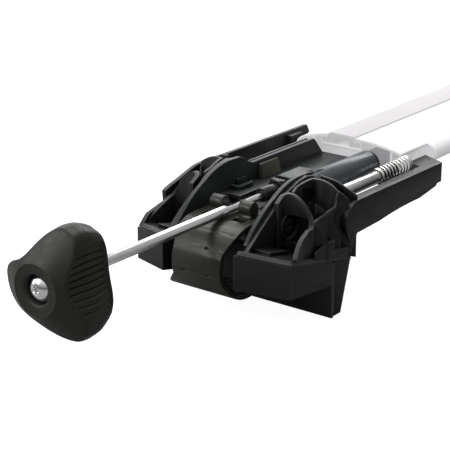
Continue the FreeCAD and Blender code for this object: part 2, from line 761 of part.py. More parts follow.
def make_lock_core():
    """The round core inside the lock sleeve, with its cross slots."""
    body = new_body("lock_core")
    rod_x(body, LOCK_Y, LOCK_Z, LOCK_RADIUS - 1.5, 24.9, 27.4)
    rod_x(body, LOCK_Y, LOCK_Z, 4.0, 27.3, 29.6)
    slab_y(body, rectangle(28.2, 30.5, LOCK_Z - 0.9, LOCK_Z + 0.9), 0.0, 16.0, work=pocket)
    slab_z(body, rectangle(25.9, 28.0, LOCK_Y - 8.0, LOCK_Y - 4.6), -12.0, -2.0, work=pocket)
    return body


# ---------------------------------------------------------------- moving jaw

def make_outer_jaw():
    """The moving jaw: a bent plate with a round nose, a lip under the rail and a rear upright."""
    body = new_body("jaw_plate")
    wall = amount(dim("jaw_wall"))
    lip = dim("jaw_lip")
    outer = [
        (12.0, -3.2), (-11.0, -3.2), (-32.5, -17.0, 24.0), (-32.5, -31.0, 22.0),
        (-26.0, -39.4, 12.0), (-11.5, -41.4, 24.0), (-10.4, -38.8), (-24.4, -36.6, -21.0),
        (-32.5 + wall, -30.2, -9.5), (-32.5 + wall, -17.6, -19.2), (-11.4, -3.2 - wall, -21.2),
        (10.2, -3.2 - wall), (12.0, -8.6), (41.0, -8.6), (41.0, 5.2), (38.55, 5.2),
        (38.55, -5.9), (13.6, -5.9),
    ]
    slab_x(body, outer, -lip, lip)
    half = dim("jaw_half")
    waist = dim("jaw_waist")
    edge = lip + 1.0
    for side in (-1, 1):
        notch = [(edge * side, 10.0), (half * side, 10.0), (half * side, -6.5), (waist * side, -15.0),
                 (waist * side, -31.0), (lip * side, -37.6), (edge * side, -37.6)]
        slab_y(body, notch, -36.0, 14.0, work=pocket)
        strap = [(edge * side, -12.0), (9.0 * side, -12.0), (9.0 * side, -4.4), (5.4 * side, -3.8),
                 (5.4 * side, 1.6), (3.4 * side, 6.6), (edge * side, 6.6)]
        slab_y(body, strap, 13.7, 45.0, work=pocket)
    rod_y(body, 0.0, 0.0, dim("bolt_radius") + 0.4, 36.0, 46.0, work=pocket)
    for low in (-13.6, 5.4):
        slab_z(body, rectangle(low, low + 8.2, -11.0, -5.4), -8.0, -2.0, work=pocket)
    jaw = doc.addObject("Part::Cut", "outer_jaw")
    jaw.Label = "outer_jaw"
    jaw.Base = body
    jaw.Tool = fixed_shape("rivet_holes", rivet_pins(RIVET_RADIUS + 0.05))
    doc.recompute()
    return jaw


RIVET_RADIUS = 0.7
RIVETS = [(-7.7, -33.0, -27.2, 0.0), (7.7, -33.0, -27.2, 0.0), (4.2, -31.5, -12.6, 30.0),
          (-15.2, -22.7, -6.3, 58.0), (15.2, -22.7, -6.3, 58.0)]


def rivet_pins(radius):
    """Short pins through the jaw's plate, each leaning by its tilt below level."""
    pins = []
    for across, along, up, tilt in RIVETS:
        inward = FreeCAD.Vector(0, math.cos(math.radians(tilt)), -math.sin(math.radians(tilt)))
        length = 3.0 if radius == RIVET_RADIUS else 4.5
        start = FreeCAD.Vector(across, along, up) - inward * (length - 3.0) / 2
        pins.append(Part.makeCylinder(radius, length, start, inward))
    return Part.makeCompound(pins)


def make_jaw_hooks():
    """Two rolled tabs on the top plate that keep the key in line with the bolt."""
    body = new_body("jaw_hooks")
    foot = -3.15
    outline = [
        (-4.4, foot), (3.2, foot), (3.2, 0.8), (-0.6, 5.4, 4.4), (-4.6, 1.2, 4.3), (-3.4, -1.6),
    ]
    for low in (-13.5, 5.5):
        slab_x(body, outline, low, low + 8.0)
    return body


def make_jaw_rivets():
    return fixed_shape("jaw_rivets", rivet_pins(RIVET_RADIUS))


def make_jaw_pad():
    """The rubber strip inside the jaw's lip, which touches the roof rail."""
    body = new_body("jaw_pad")
    outline = [(-24.2, -36.4), (-10.6, -38.7, 21.0), (-10.8, -35.9), (-22.6, -34.0, -19.0)]
    half = dim("jaw_lip") - 1.0
    slab_x(body, outline, -half, half)
    return body


def make_saddle():
    """The steel cup between the bolt's head and the jaw's upright."""
    body = new_body("bolt_saddle")
    end = dim("head_end")
    rod_y(body, 0.0, 0.0, 5.3, end - 5.0, end)
    rod_y(body, 0.0, 0.0, 4.6, end - 5.2, end - 1.5, work=pocket)
    rod_y(body, 0.0, 0.0, dim("bolt_radius") + 0.3, end - 4.0, end + 1.0, work=pocket)
    slab_y(body, rectangle(-8.0, 8.0, 2.2, 9.0), end - 7.0, end - 1.5, work=pocket)
    return body


# ---------------------------------------------------------------- clamp bolt, key and knob

def make_clamp_bolt():
    """The clamp bolt: a hexagon socket head and a plain shank."""
    body = new_body("clamp_bolt")
    seat = dim("head_end") - 1.55
    rod_y(body, 0.0, 0.0, dim("head_radius"), dim("head_start"), seat)
    rod_y(body, 0.0, 0.0, dim("bolt_radius"), seat - 0.1, dim("bolt_end"))
    socket_end = dim("tip_end") + 1.5
    sketch = new_sketch(body, "XZ_Plane", -socket_end)
    add_hexagon(sketch, dim("tip_flats") + 0.2)
    pocket(body, sketch, socket_end - dim("head_start") + 1.0)
    return body


def make_key_rod():
    """The torque key's bar: a hexagon with a smaller hexagon tip, and a round spigot in the knob."""
    body = new_body("key_rod")
    start = dim("knob_back") - 18.0
    sketch = new_sketch(body, "XZ_Plane", -dim("tip_start"))
    add_hexagon(sketch, dim("key_flats"))
    pad(body, sketch, dim("tip_start") - start)
    sketch = new_sketch(body, "XZ_Plane", -dim("tip_end"))
    add_hexagon(sketch, dim("tip_flats"))
    pad(body, sketch, dim("tip_end") - dim("tip_start") + 0.5)
    return body


def make_drive_hub():
    """The hub pressed on the bar, whose teeth slip in the knob at the set torque."""
    body = new_body("drive_hub")
    back = dim("knob_back") - 6.0
    rod_y(body, 0.0, 0.0, 9.7, back - 8.0, back)
    sketch = new_sketch(body, "XZ_Plane", -back - 1.0)
    add_hexagon(sketch, dim("key_flats") + 0.06)
    pocket(body, sketch, 10.0)
    for turn in range(12):
        angle = math.radians(30 * turn)
        across, up = 10.0 * math.cos(angle), 10.0 * math.sin(angle)
        rod_y(body, across, up, 1.3, back - 9.0, back + 1.0, work=pocket)
    return body


def make_detent_ring():
    """The ring of the torque limiter that is fixed in the knob, round the hub."""
    body = new_body("detent_ring")
    back = dim("knob_back") - 6.0
    rod_y(body, 0.0, 0.0, 11.9, back - 8.0, back)
    rod_y(body, 0.0, 0.0, 9.75, back - 9.0, back + 1.0, work=pocket)
    return body


def make_limiter_spring():
    """The stack of two cone springs that loads the limiter."""
    back = amount(dim("knob_back")) - 14.1
    hole, rim, rise, sheet_wall = 3.2, 8.6, 1.0, 0.7
    half = [(hole, 0.0), (rim, rise), (rim, rise + sheet_wall), (hole, sheet_wall)]
    solids = []
    for place, sense in ((back - 2.0, 1), (back - 2.1, -1)):
        ring = [FreeCAD.Vector(radius, place + sense * height, 0) for radius, height in half]
        face = Part.Face(Part.makePolygon(ring + ring[:1]))
        solids.append(face.revolve(FreeCAD.Vector(0, 0, 0), FreeCAD.Vector(0, 1, 0), 360))
    return fixed_shape("limiter_springs", Part.makeCompound(solids))


def make_limiter_washer():
    """The flanged spacer between the screw's head and the limiter's springs."""
    body = new_body("limiter_washer")
    back = dim("knob_back") - 18.2
    rod_y(body, 0.0, 0.0, 8.0, back - 1.5, back)
    rod_y(body, 0.0, 0.0, 5.6, dim("knob_front") + 4.05, back - 1.4)
    rod_y(body, 0.0, 0.0, 3.2, dim("knob_front"), back + 1.0, work=pocket)
    return body


def make_knob_screw():
    """The button-head screw in the knob's front, with a hexagon socket."""
    back = amount(dim("knob_front")) + 4.0
    radius, dome, socket = 6.4, 3.4, 3.6
    ball = (radius * radius + dome * dome) / (2 * dome)
    face_edges = [
        Part.LineSegment(FreeCAD.Vector(0, back, 0), FreeCAD.Vector(radius, back, 0)).toShape(),
        Part.LineSegment(FreeCAD.Vector(radius, back, 0), FreeCAD.Vector(radius, back - 0.6, 0)).toShape(),
        Part.Arc(FreeCAD.Vector(radius, back - 0.6, 0),
                 FreeCAD.Vector(ball * math.sin(0.55), back - 0.6 - dome + ball * (1 - math.cos(0.55)), 0),
                 FreeCAD.Vector(0, back - 0.6 - dome, 0)).toShape(),
        Part.LineSegment(FreeCAD.Vector(0, back - 0.6 - dome, 0), FreeCAD.Vector(0, back, 0)).toShape(),
    ]
    head = Part.Face(Part.Wire(face_edges))
    head = head.revolve(FreeCAD.Vector(0, 0, 0), FreeCAD.Vector(0, 1, 0), 360)
    corners = [FreeCAD.Vector(socket / math.sqrt(3) * math.cos(math.radians(60 * turn)), back - 6.0,
                              socket / math.sqrt(3) * math.sin(math.radians(60 * turn)))
               for turn in range(7)]
    hexagon = Part.Face(Part.makePolygon(corners)).extrude(FreeCAD.Vector(0, 4.0, 0))
    key_end = amount(dim("knob_back")) - 18.05
    shank = Part.makeCylinder(2.45, key_end - back, FreeCAD.Vector(0, back - 0.05, 0),
                              FreeCAD.Vector(0, 1, 0))
    return fixed_shape("knob_screw", head.fuse(shank).cut(hexagon).removeSplitter())


LOBE_ANGLE = 68.5
LOBE_FLAT = 0.8
LOBE_END = 30.2


def knob_section(along, scale):
    """The three-lobed section of the knob, with blunt lobes, at one place along its axis."""
    points = []
    mean, lobe = amount(dim("knob_mean")), amount(dim("knob_lobe"))
    for step in range(48):
        angle = math.radians(7.5 * step)
        turn = angle - math.radians(LOBE_ANGLE)
        radius = mean + lobe * math.cos(3 * turn) + LOBE_FLAT * math.cos(6 * turn)
        nearest = (turn + math.pi / 3) % (2 * math.pi / 3) - math.pi / 3
        radius = scale * min(radius, LOBE_END / math.cos(nearest))
        points.append(FreeCAD.Vector(radius * math.cos(angle), along, radius * math.sin(angle)))
    curve = Part.BSplineCurve()
    curve.interpolate(points, PeriodicFlag=True)
    return Part.Wire([curve.toShape()])


def make_knob():
    """The three-lobed knob: a coned front, a round mouth, and a hollow for the torque limiter."""
    front, back = amount(dim("knob_front")), amount(dim("knob_back"))
    stations = [(front, 0.88), (front + 12.0, 0.96), (front + 21.0, 1.0), (back - 7.0, 0.96),
                (back - 2.0, 0.86), (back, 0.74)]
    body = Part.makeLoft([knob_section(along, scale) for along, scale in stations], True)
    axis = FreeCAD.Vector(0, 1, 0)
    length = back - front
    cone = Part.makeCone(CONE_START, CONE_START + length * CONE_SPREAD, length,
                         FreeCAD.Vector(0, front, 0), axis)
    cavity = Part.makeCylinder(12.0, 18.0, FreeCAD.Vector(0, back - 20.0, 0), axis)
    mouth = Part.makeCylinder(MOUTH, length - 10.0, FreeCAD.Vector(0, front - 5.0, 0), axis)
    rear = Part.makeCylinder(3.2, 30.0, FreeCAD.Vector(0, back - 10.0, 0), axis)
    return fixed_shape("knob_body", body.common(cone).cut(cavity).cut(mouth).cut(rear))


CONE_START = 13.5
CONE_SPREAD = 1.42
MOUTH = 8.4


# ---------------------------------------------------------------- crossbar

def bar_outline(inset):
    """The aero section of the bar at its outboard end, as an upper and a lower curve."""
    end = amount(dim("bar_end"))
    half = amount(dim("bar_half")) - inset
    rise = amount(dim("bar_rise")) - inset
    middle = amount(dim("bar_z"))
    upper = []
    for step in range(13):
        t = math.radians(180 - 15 * step)
        flat = rise * (abs(math.sin(t)) ** 0.92)
        lean = 1.0 if math.cos(t) < 0 else 0.94
        upper.append(FreeCAD.Vector(half * math.cos(t), end, middle + flat * lean))
    lower = []
    for step in range(13):
        t = math.radians(-15 * step)
        lower.append(FreeCAD.Vector(half * math.cos(t), end, middle + rise * math.sin(t)))
    top = Part.BSplineCurve()
    top.interpolate(upper)
    low = Part.BSplineCurve()
    low.interpolate(lower)
    return Part.Wire([top.toShape(), low.toShape()])


def make_crossbar():
    """A cut length of the hollow bar: top slot with undercuts, two webs and an end notch."""
    end, stop = amount(dim("bar_end")), amount(dim("bar_stop"))
    along = FreeCAD.Vector(0, stop - end, 0)
    skin = Part.Face(bar_outline(0.0)).extrude(along)
    hollow = Part.Face(bar_outline(amount(dim("bar_wall")))).extrude(along)
    middle, half = amount(dim("slot_x")), amount(dim("slot_half"))
    top = amount(dim("bar_z")) + amount(dim("bar_rise"))
    length = stop - end
    channel = Part.makeBox(2 * half + 3.0, length, 9.0, FreeCAD.Vector(middle - half - 1.5, end, top - 8.6))
    bar = skin.cut(hollow).fuse(channel.common(skin))
    mouth = Part.makeBox(2 * half - 7.0, length, 12.0, FreeCAD.Vector(middle - half + 3.5, end, top - 6.9))
    under = Part.makeBox(2 * half, length, 3.2, FreeCAD.Vector(middle - half, end, top - 6.9))
    bar = bar.cut(mouth).cut(under)
    for across in (-26.5, 26.5):
        web = Part.makeBox(1.8, length, 30.0, FreeCAD.Vector(across - 0.9, end, -15.0))
        bar = bar.fuse(web.common(skin))
    notch = Part.makeBox(20.0, 30.0, 40.0, FreeCAD.Vector(33.0, end - 1.0, -20.0))
    return fixed_shape("crossbar", bar.cut(notch).removeSplitter())


def make_slot_strip():
    """The rubber strip that fills the bar's top slot, with cross grooves."""
    body = new_body("bar_slot_strip")
    middle, half = dim("slot_x"), dim("slot_half")
    top = dim("bar_z") + dim("bar_rise")
    wide = half - 0.25
    neck = half - 3.75
    profile = [
        (middle - wide, top - 6.7), (middle + wide, top - 6.7), (middle + wide, top - 4.0),
        (middle + neck, top - 4.0), (middle + neck, top - 0.1), (middle - neck, top - 0.1),
        (middle - neck, top - 4.0), (middle - wide, top - 4.0),
    ]
    slab_y(body, profile, dim("bar_end") + 0.6, dim("bar_stop") - 0.6)
    core = half - 8.5
    slab_y(body, rectangle(middle - core, middle + core, top - 6.8, top - 3.6),
           dim("bar_end"), dim("bar_stop"), work=pocket)
    return body


def make_bar_tongue():
    """The steel tongue below the floor that the bar slides along."""
    body = new_body("bar_tongue")
    slab_y(body, rectangle(-10.8, 10.8, -6.85, -5.05), 62.0, 176.0)
    for along in (70.0, 100.0):
        rod_z(body, 0.0, along, 2.1, -9.0, -4.0, work=pocket)
    return body


def make_tongue_screws():
    """The two screws that hold the tongue up to the floor."""
    body = new_body("tongue_screws")
    for along in (70.0, 100.0):
        rod_z(body, 0.0, along, 4.0, -9.0, -6.9)
        rod_z(body, 0.0, along, 2.0, -6.95, -5.05)
    return body


# ---------------------------------------------------------------- build, check and write

arm_body = make_right_arm()
NODES = [
    make_carriage(),
    make_left_rail(),
    make_upper_floor(),
    make_guide_block(),
    make_floor_catch(),
    make_nut_boss(),
    make_bolt_nut(),
    make_side_block("right_side_block", 1),
    make_side_block("left_side_block", -1),
    make_fixed_jaw(),
    make_fixed_pad(),
    make_right_housing(arm_body),
    make_left_housing(),
    make_left_shell(),
    arm_body,
    make_guide_tube(),
    make_tube_cap(),
    make_plunger_bush(),
    make_plunger(),
    make_plunger_spring(),
    make_lock_sleeve(),
    make_lock_core(),
    make_outer_jaw(),
    make_jaw_hooks(),
    make_jaw_rivets(),
    make_jaw_pad(),
    make_saddle(),
    make_clamp_bolt(),
    make_key_rod(),
    make_drive_hub(),
    make_detent_ring(),
    make_limiter_spring(),
    make_limiter_washer(),
    make_knob_screw(),
    make_knob(),
    make_crossbar(),
    make_slot_strip(),
    make_bar_tongue(),
    make_tongue_screws(),
]

doc.recompute()
for item in doc.Objects:
    if "Invalid" in item.State or "Error" in item.State:
        raise ValueError(f"{item.Label} did not recompute: {item.State}")
for node in NODES:
    if node.Shape.isNull() or not node.Shape.isValid() or not node.Shape.Solids:
        raise ValueError(f"{node.Label} has no valid shape")

os.makedirs("parts", exist_ok=True)
for node in NODES:
    node.Shape.exportStep(os.path.join("parts", node.Label + ".step"))
    print(node.Label, len(node.Shape.Solids), round(node.Shape.Volume))
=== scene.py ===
"""Looks of the roof-rack crossbar foot: finishes for its CAD pieces, and fine meshes for the
knob and the plunger's spring. Everything is in metres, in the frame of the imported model."""
import json
import math

import bpy
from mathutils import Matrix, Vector


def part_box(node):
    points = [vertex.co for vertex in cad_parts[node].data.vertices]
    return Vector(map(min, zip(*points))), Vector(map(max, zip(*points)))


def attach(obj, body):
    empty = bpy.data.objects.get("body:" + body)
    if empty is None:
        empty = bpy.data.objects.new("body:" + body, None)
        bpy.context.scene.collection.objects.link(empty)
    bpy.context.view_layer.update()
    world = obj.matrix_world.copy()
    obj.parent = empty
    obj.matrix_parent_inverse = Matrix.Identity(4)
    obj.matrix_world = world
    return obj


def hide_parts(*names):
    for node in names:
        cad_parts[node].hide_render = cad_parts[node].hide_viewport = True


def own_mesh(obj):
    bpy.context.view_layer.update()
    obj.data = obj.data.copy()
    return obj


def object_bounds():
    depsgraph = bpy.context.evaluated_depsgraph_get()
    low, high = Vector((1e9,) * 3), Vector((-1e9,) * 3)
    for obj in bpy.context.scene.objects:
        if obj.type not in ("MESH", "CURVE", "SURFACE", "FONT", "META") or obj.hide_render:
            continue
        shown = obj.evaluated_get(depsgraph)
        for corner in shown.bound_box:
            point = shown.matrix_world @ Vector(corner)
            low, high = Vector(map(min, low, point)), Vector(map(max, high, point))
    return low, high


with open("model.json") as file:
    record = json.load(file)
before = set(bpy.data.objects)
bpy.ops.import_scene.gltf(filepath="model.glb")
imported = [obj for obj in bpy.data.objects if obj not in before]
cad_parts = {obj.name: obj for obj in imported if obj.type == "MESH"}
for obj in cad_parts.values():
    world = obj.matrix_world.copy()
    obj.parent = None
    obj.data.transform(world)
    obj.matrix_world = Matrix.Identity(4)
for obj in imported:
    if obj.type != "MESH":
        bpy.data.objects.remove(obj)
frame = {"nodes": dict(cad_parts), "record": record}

MM = 0.001
NODES = frame["nodes"]
CAD_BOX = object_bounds()


# ---------------------------------------------------------------- finishes

NOISE_RANGE = (0.3, 0.7)
BEVEL_SAMPLES = 4
OPENNESS_SAMPLES = 6
# how fast a turn between two faces counts as an edge
EDGE_GAIN = 6.0
# the upward tilt from which a face counts as level, and how fast it does
LEVEL_FROM = 0.45
LEVEL_GAIN = 2.5
THIN_GAIN = 2.2
# how near a facing wall has to be for a hollow to get painted shade
HOLLOW_REACH = 14 * MM
# how far shading rounds a corner over
ROUNDING = 0.35 * MM
# the reach of the lighter band along edges, partly real rubbing and partly painted highlight, and the
# width of narrow upward faces that get a painted highlight
RUB_AND_HIGHLIGHT_EDGE = 0.9 * MM
RIM_WIDTH = 1.6 * MM
BARE_STEEL = (0.10, 0.10, 0.095)
BLACK_TAIL = (0.04, 0.04, 0.04)
NO_TAIL = 1.0
WHITE = (1.0, 1.0, 1.0)


class Finish:
    """One procedural material, and short calls for the nodes that the finishes share."""

    def __init__(self, name):
        self.material = bpy.data.materials.new(name)
        self.material.use_nodes = True
        self.nodes = self.material.node_tree.nodes
        self.links = self.material.node_tree.links
        self.shader = self.nodes["Principled BSDF"]
        self.place = self.nodes.new("ShaderNodeTexCoord").outputs["Object"]

    def feed(self, socket, value):
        """Sets a socket to a number or colour, or joins another node's output to it."""
        if isinstance(value, bpy.types.NodeSocket):
            self.links.new(value, socket)
        elif isinstance(value, tuple) and len(value) == 3 and socket.type == "RGBA":
            socket.default_value = (*value, 1.0)
        else:
            socket.default_value = value

    def node(self, kind, settings=(), **inputs):
        """A new node with its settings, and with inputs named by their labels."""
        made = self.nodes.new(kind)
        for name, value in dict(settings).items():
            setattr(made, name, value)
        for name, value in inputs.items():
            self.feed(made.inputs[name.replace("_", " ")], value)
        return made

    def maths(self, operation, first, second=0.0):
        made = self.nodes.new("ShaderNodeMath")
        made.operation = operation
        self.feed(made.inputs[0], first)
        self.feed(made.inputs[1], second)
        return made.outputs[0]

    def noise(self, size, detail=3.0, stretch=(1.0, 1.0, 1.0)):
        """Cloudy noise whose blobs are about size metres wide, drawn out along an axis by stretch."""
        mapping = self.node("ShaderNodeMapping", Vector=self.place)
        mapping.inputs["Scale"].default_value = [1.0 / (size * share) for share in stretch]
        made = self.node("ShaderNodeTexNoise", Vector=mapping.outputs[0], Scale=1.0, Detail=detail)
        return made.outputs["Fac"]

    def between(self, share, low, high):
        """A number that runs from low to high as share crosses the middle range of noise."""
        made = self.node("ShaderNodeMapRange", Value=share, To_Min=low, To_Max=high)
        made.inputs["From Min"].default_value, made.inputs["From Max"].default_value = NOISE_RANGE
        return made.outputs[0]

    def mix(self, share, first, second, blend="MIX"):
        """A colour that goes from first to second as share goes from 0 to 1."""
        made = self.node("ShaderNodeMix", {"data_type": "RGBA", "blend_type": blend})
        self.feed(made.inputs[0], share)
        self.feed(made.inputs[6], first)
        self.feed(made.inputs[7], second)
        return made.outputs[2]

    def edges(self, radius):
        """Near 1 where two faces meet within radius, and 0 on open faces."""
        soft = self.node("ShaderNodeBevel", {"samples": BEVEL_SAMPLES}, Radius=radius).outputs[0]
        flat = self.nodes.new("ShaderNodeNewGeometry").outputs["Normal"]
        dot = self.node("ShaderNodeVectorMath", {"operation": "DOT_PRODUCT"})
        self.links.new(soft, dot.inputs[0])
        self.links.new(flat, dot.inputs[1])
        turn = self.maths("SUBTRACT", 1.0, dot.outputs["Value"])
        return self.maths("MINIMUM", self.maths("MULTIPLY", turn, EDGE_GAIN), 1.0)

    def rims(self, width):
        """Near 1 on upward faces narrower than about twice width, such as the tops of ribs."""
        normal = self.nodes.new("ShaderNodeNewGeometry").outputs["Normal"]
        up = self.node("ShaderNodeSeparateXYZ", Vector=normal).outputs["Z"]
        level = self.maths("MULTIPLY", self.maths("SUBTRACT", up, LEVEL_FROM), LEVEL_GAIN)
        within = {"samples": OPENNESS_SAMPLES, "inside": True}
        inside = self.node("ShaderNodeAmbientOcclusion", within, Distance=width).outputs["AO"]
        thin = self.maths("MULTIPLY", self.maths("SUBTRACT", 1.0, inside), THIN_GAIN)
        both = self.maths("MULTIPLY", self.maths("MAXIMUM", level, 0.0), thin)
        return self.maths("MINIMUM", both, 1.0)

    def bump(self, height, depth, strength=1.0, radius=0.0):
        """Raises the surface by depth metres times height, over corners rounded to radius."""
        made = self.node("ShaderNodeBump", Height=height, Distance=depth, Strength=strength)
        if radius:
            soft = self.node("ShaderNodeBevel", {"samples": BEVEL_SAMPLES}, Radius=radius)
            self.links.new(soft.outputs[0], made.inputs["Normal"])
        self.links.new(made.outputs[0], self.shader.inputs["Normal"])

    def set(self, name, value):
        self.feed(self.shader.inputs[name], value)


def shade(colour, share):
    return tuple(min(1.0, part * share) for part in colour)


def moulded(name, colour, roughness, grain=0.45 * MM, relief=0.02 * MM, rub_and_highlight=1.9, hollow=1.0):
    """Satin moulded plastic: fine spark-eroded grain, faint flow clouds, edges lightened partly by rubbing
    and partly by a painted highlight, a painted highlight on narrow upward faces such as rib tops and,
    with hollow below 1, painted shade down between its ribs."""
    finish = Finish(name)
    cloud = finish.noise(16 * MM, 4.0)
    smear = finish.noise(3 * MM, 3.0, (1.0, 5.0, 1.0))
    body = finish.mix(finish.between(cloud, 0.0, 1.0), shade(colour, 0.88), shade(colour, 1.12))
    body = finish.mix(finish.between(smear, 0.0, 0.22), body, shade(colour, 1.4))
    # lighter edges, partly real rubbing and partly painted highlight, and a painted highlight on narrow
    # upward faces such as rib tops
    rubbed_and_highlit = finish.maths("MAXIMUM", finish.edges(RUB_AND_HIGHLIGHT_EDGE), finish.rims(RIM_WIDTH))
    rub_and_highlight_mask = finish.maths("MULTIPLY", rubbed_and_highlit, finish.between(finish.noise(5 * MM), 0.5, 0.95))
    # painted shade: where facing walls are near, the colour is darkened and the reflection weakened
    around = {"samples": OPENNESS_SAMPLES}
    openness = finish.node("ShaderNodeAmbientOcclusion", around, Distance=HOLLOW_REACH).outputs["AO"]
    depth = finish.mix(finish.between(openness, 0.0, 1.0), (hollow,) * 3, WHITE)
    # the skin takes the lighter edge and rib-top colour; the painted shade of hollows is then multiplied
    # in
    skin = finish.mix(rub_and_highlight_mask, body, shade(colour, rub_and_highlight))
    finish.set("Base Color", finish.mix(1.0, skin, depth, "MULTIPLY"))
    finish.set("Roughness", finish.between(smear, roughness - 0.05, roughness + 0.08))
    # painted shade: weaker reflection in hollows
    finish.set("Specular IOR Level", finish.maths("MULTIPLY", finish.between(openness, hollow, 1.0), 0.24))
    finish.bump(finish.noise(grain, 4.0), relief, 0.7, ROUNDING)
    return finish.material


def coated_steel(name, colour, roughness):
    """Pressed steel plate under a thin satin coat, with drawn streaks and bare rubbed edges."""
    finish = Finish(name)
    drawn = finish.noise(1.2 * MM, 4.0, (12.0, 1.0, 1.0))
    cloud = finish.noise(12 * MM, 4.0)
    body = finish.mix(finish.between(cloud, 0.0, 1.0), shade(colour, 0.82), shade(colour, 1.15))
    body = finish.mix(finish.between(drawn, 0.0, 0.25), body, shade(colour, 1.6))
    rub_and_highlight_mask = finish.maths("MULTIPLY", finish.edges(0.4 * MM), finish.between(finish.noise(4 * MM), 0.2, 1.0))
    finish.set("Base Color", finish.mix(rub_and_highlight_mask, body, BARE_STEEL))
    finish.set("Metallic", finish.maths("MULTIPLY", rub_and_highlight_mask, 0.7))
    finish.set("Specular IOR Level", 0.26)
    finish.set("Roughness", finish.between(drawn, roughness - 0.06, roughness + 0.10))
    finish.set("Coat Weight", 0.08)
    finish.set("Coat Roughness", 0.3)
    finish.bump(finish.noise(0.5 * MM, 3.0), 0.015 * MM, 0.8, ROUNDING)
    return finish.material


def steel(name, colour, roughness, along=(1.0, 14.0, 1.0), clouds=0.1, tail_from=NO_TAIL):
    """Bare or plated steel: fine lines along the work, soft stains and rounded corners. Past
    tail_from metres inboard the steel is left black."""
    finish = Finish(name)
    lines = finish.noise(0.35 * MM, 5.0, along)
    stain = finish.noise(7 * MM, 4.0)
    dull = shade(colour, 1.0 - clouds)
    body = finish.mix(finish.between(stain, 0.0, 1.0), colour, dull)
    inboard = finish.node("ShaderNodeSeparateXYZ", Vector=finish.place).outputs["Y"]
    tail = finish.maths("GREATER_THAN", inboard, tail_from)
    finish.set("Base Color", finish.mix(tail, body, BLACK_TAIL))
    finish.set("Metallic", 1.0)
    brushed = finish.between(lines, roughness - 0.04, roughness + 0.06)
    finish.set("Roughness", finish.maths("ADD", brushed, finish.between(stain, 0.0, 0.05)))
    finish.bump(lines, 0.0025 * MM, 0.5, 0.2 * MM)
    return finish.material


def rubber(name, colour, roughness):
    """Soft black rubber with a dusty bloom and a coarse grain."""
    finish = Finish(name)
    bloom = finish.noise(6 * MM, 5.0)
    finish.set("Base Color", finish.mix(finish.between(bloom, 0.0, 0.6), colour, shade(colour, 2.2)))
    finish.set("Roughness", finish.between(bloom, roughness - 0.08, roughness + 0.05))
    finish.set("Sheen Weight", 0.2)
    finish.bump(finish.noise(0.8 * MM, 4.0), 0.05 * MM, 0.8, 0.3 * MM)
    return finish.material


def frosted(name, colour, solidity, roughness, glow):
    """Pale see-through plastic: clouded body with a painted glow that lifts its shaded faces, solid at
    corners.
    """
    finish = Finish(name)
    cloud = finish.noise(22 * MM, 4.0, (1.0, 3.0, 1.0))
    finish.set("Base Color", finish.mix(finish.between(cloud, 0.0, 1.0), colour, shade(colour, 0.95)))
    finish.set("Roughness", finish.between(finish.noise(2 * MM, 4.0), roughness - 0.06, roughness + 0.08))
    # painted glow: the body gives off light of its own though it is no lamp, lifting its shaded faces
    finish.set("Emission Color", WHITE)
    finish.set("Emission Strength", glow)
    glance = finish.node("ShaderNodeLayerWeight", Blend=0.35).outputs["Facing"]
    clouded = finish.between(cloud, solidity - 0.06, solidity + 0.06)
    solid = finish.maths("ADD", clouded, finish.maths("MULTIPLY", glance, 0.35))
    corner = finish.maths("MULTIPLY", finish.edges(0.6 * MM), 0.25)
    finish.set("Alpha", finish.maths("MINIMUM", finish.maths("ADD", solid, corner), 1.0))
    finish.bump(finish.noise(1.2 * MM, 4.0), 0.02 * MM, 0.6, 0.5 * MM)
    return finish.material


def ribbed(name, colour, solidity, pitch, glow):
    """The slot's rubber infill: lengthwise ribs with painted shade down the grooves between them, a little
    lighter dust and a painted glow.
    """
    finish = Finish(name)
    across = finish.node("ShaderNodeSeparateXYZ", Vector=finish.place).outputs["X"]
    wave = finish.maths("SINE", finish.maths("MULTIPLY", across, 2.0 * math.pi / pitch))
    ridge = finish.maths("ADD", finish.maths("MULTIPLY", wave, 0.5), 0.5)
    dust = finish.noise(9 * MM, 5.0, (1.0, 4.0, 1.0))
    # painted shade: the grooves between the ribs are darker
    body = finish.mix(ridge, shade(colour, 0.86), colour)
    finish.set("Base Color", finish.mix(finish.between(dust, 0.0, 0.3), body, shade(colour, 1.15)))
    finish.set("Roughness", finish.between(dust, 0.55, 0.72))
    finish.set("Alpha", solidity)
    # painted glow: the infill gives off light of its own though it is no lamp
    finish.set("Emission Color", WHITE)
    finish.set("Emission Strength", glow)
    finish.bump(ridge, 0.3 * MM, 0.6)
    return finish.material


